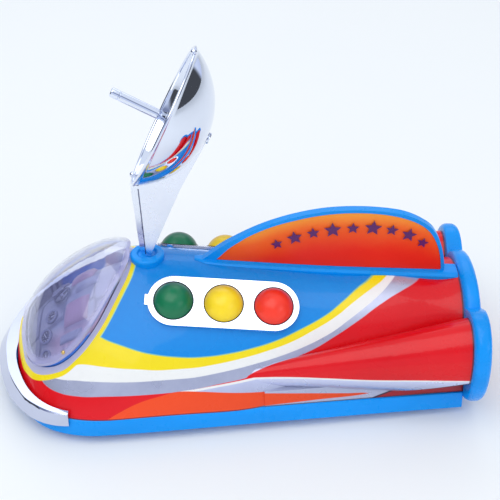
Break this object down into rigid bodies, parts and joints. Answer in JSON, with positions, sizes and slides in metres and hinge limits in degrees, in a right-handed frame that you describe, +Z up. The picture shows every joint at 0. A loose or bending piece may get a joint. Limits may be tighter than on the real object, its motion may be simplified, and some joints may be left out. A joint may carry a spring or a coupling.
{
  "type": "tin space rocket toy",
  "caption": "Battery-driven space rocket toy of lithographed tin with clear cockpit bubble, lamp panels on both flanks, dorsal fin, lobed tail and a turning radar dish.",
  "frame": {"origin": "on the floor under the middle of the bounding box", "axes": "+X towards the nose, +Y towards the toy's left side, +Z up"},
  "size_m": [0.24, 0.1244, 0.1713],
  "materials": {
    "litho_tin": "lithographed tinplate, gloss varnish",
    "blue_plastic": "moulded gloss polystyrene",
    "chrome": "vacuum-plated bright chrome",
    "clear_plastic": "clear blown plastic",
    "cockpit_print": "printed tinplate",
    "fin_print": "printed tinplate, orange to red",
    "lens_green": "transparent green plastic",
    "lens_yellow": "transparent yellow plastic",
    "lens_red": "transparent red plastic",
    "steel": "bright drawn steel",
    "brass": "sheet brass",
    "black_plastic": "moulded plastic",
    "white_plastic": "moulded acetal",
    "fibre": "pressed fibre board",
    "rubber": "moulded rubber",
    "cell_wrap": "wrapped dry cells",
    "glass_bulb": "clear glass bulb"
  },
  "bodies": {
    "hull": {"body_shell": "litho_tin", "base_tray": "blue_plastic", "tail_ring": "blue_plastic", "tail_plate": "chrome", "nose_bumper": "chrome", "windscreen": "clear_plastic", "cockpit_panel": "cockpit_print", "fin_frame": "blue_plastic", "fin_panel_left": "fin_print", "fin_panel_right": "fin_print", "lamp_bezel_left": "chrome", "lamp_bezel_right": "chrome", "lamp_green_left": "lens_green", "lamp_green_right": "lens_green", "lamp_yellow_left": "lens_yellow", "lamp_yellow_right": "lens_yellow", "lamp_red_left": "lens_red", "lamp_red_right": "lens_red", "bulb_board_left": "fibre", "bulb_board_right": "fibre", "bulbs_left": "glass_bulb", "bulbs_right": "glass_bulb", "antenna_grommet": "blue_plastic", "gearbox_plate_left": "steel", "gearbox_plate_right": "steel", "gearbox_pillars": "steel", "gearbox_screws": "steel", "motor": "steel", "rear_axle_bearings": "black_plastic", "battery_box": "black_plastic", "battery_cells": "cell_wrap", "battery_contacts": "brass", "battery_springs": "steel", "switch_body": "black_plastic", "base_screws": "steel"},
    "antenna": {"antenna_dish": "chrome", "antenna_mast": "chrome", "antenna_feed_rod": "chrome", "antenna_shaft": "steel", "antenna_friction_disc": "fibre", "shaft_clip": "steel"},
    "counter": {"counter_shaft": "steel", "reduction_gear": "white_plastic", "friction_wheel": "rubber"},
    "rotor": {"motor_shaft": "steel", "motor_pinion": "brass"},
    "front_wheels": {"drive_axle": "steel", "drive_gear": "white_plastic", "drive_wheel_left": "black_plastic", "drive_wheel_right": "black_plastic", "drive_tyre_left": "rubber", "drive_tyre_right": "rubber"},
    "rear_wheels": {"rear_axle": "steel", "rear_wheel_left": "black_plastic", "rear_wheel_right": "black_plastic"},
    "door": {"battery_door": "blue_plastic"},
    "switch": {"switch_knob": "black_plastic"}
  },
  "joints": [
    {"name": "drive_axle_spin", "type": "hinge", "parent": "hull", "child": "front_wheels", "pos_m": [0.0454, 0, 0.014], "axis": [0, 1, 0], "continuous": true},
    {"name": "counter_spin", "type": "hinge", "parent": "hull", "child": "counter", "pos_m": [0.0404, 0, 0.02424], "axis": [0, 1, 0], "continuous": true},
    {"name": "motor_spin", "type": "hinge", "parent": "hull", "child": "rotor", "pos_m": [0.02912, 0, 0.02014], "axis": [0, 1, 0], "continuous": true},
    {"name": "antenna_spin", "type": "hinge", "parent": "hull", "child": "antenna", "pos_m": [0.0404, 0, 0.0669], "axis": [0, 0, 1], "continuous": true},
    {"name": "rear_axle_spin", "type": "hinge", "parent": "hull", "child": "rear_wheels", "pos_m": [-0.082, 0, 0.01], "axis": [0, 1, 0], "continuous": true},
    {"name": "battery_door_slide", "type": "slide", "parent": "hull", "child": "door", "axis": [-1, 0, 0], "range_m": [0, 0.045]},
    {"name": "switch_slide", "type": "slide", "parent": "hull", "child": "switch", "axis": [1, 0, 0], "range_m": [0, 0.004]}
  ],
  "couplings": [
    {"joint": "counter_spin", "follows": "antenna_spin", "ratio": -1.5625},
    {"joint": "motor_spin", "follows": "antenna_spin", "ratio": 3.6458},
    {"joint": "drive_axle_spin", "follows": "antenna_spin", "ratio": 0.72115}
  ]
}
